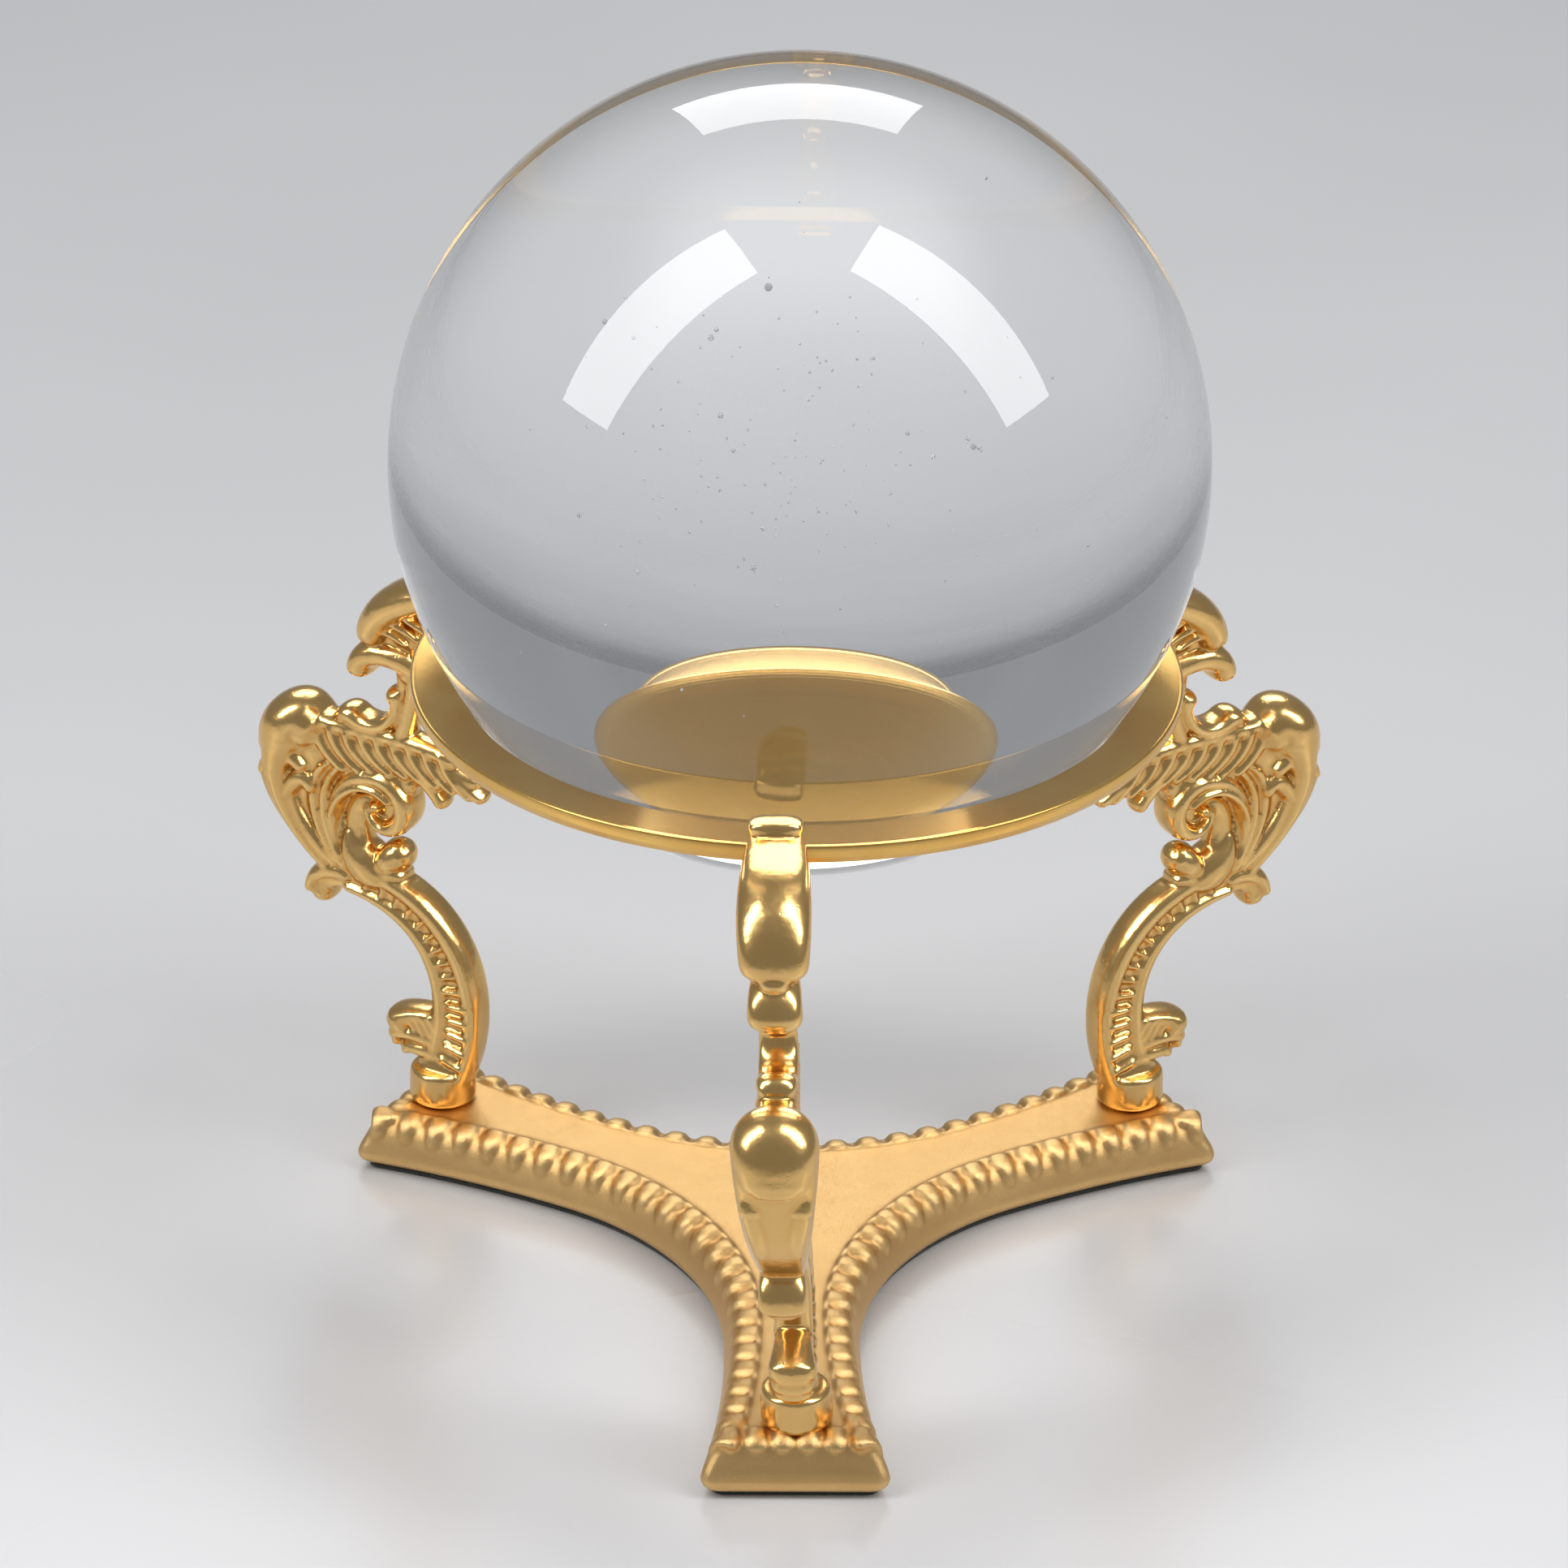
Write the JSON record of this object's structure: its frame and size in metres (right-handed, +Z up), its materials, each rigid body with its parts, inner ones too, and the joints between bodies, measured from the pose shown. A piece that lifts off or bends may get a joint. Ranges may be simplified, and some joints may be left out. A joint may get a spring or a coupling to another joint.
{
  "type": "crystal ball",
  "caption": "Solid clear glass ball resting in a flat gilt ring held by three scrolled cast legs on a three-armed base.",
  "frame": {"origin": "on the stand's upright axis, through the middle of the ball and ring, at table level under the felt", "axes": "+Z up, the front leg points along -Y, +X to the right of a person facing the front leg"},
  "size_m": [0.154, 0.143, 0.1764],
  "materials": {
    "clear_glass": "polished optical glass with a few fine bubbles",
    "satin_gold": "satin gilt, turned and lightly polished",
    "bright_gold": "bright gilt over a casting, with fine casting marks",
    "base_gold": "satin gilt field with a brighter beaded border",
    "fixing_steel": "plain turned steel",
    "black_felt": "dense short felt"
  },
  "bodies": {
    "stand": {"ball_ring": "satin_gold", "leg_front": "bright_gold", "leg_left": "bright_gold", "leg_right": "bright_gold", "ring_pin_front": "fixing_steel", "ring_pin_left": "fixing_steel", "ring_pin_right": "fixing_steel", "base_plate": "base_gold", "foot_screw_front": "fixing_steel", "foot_screw_left": "fixing_steel", "foot_screw_right": "fixing_steel", "foot_washer_front": "fixing_steel", "foot_washer_left": "fixing_steel", "foot_washer_right": "fixing_steel", "felt_sheet": "black_felt"},
    "ball": {"crystal_ball": "clear_glass"}
  },
  "joints": [
    {"name": "ball_lift", "type": "slide", "parent": "stand", "child": "ball", "axis": [0, 0, 1], "range_m": [0, 0.06]}
  ]
}
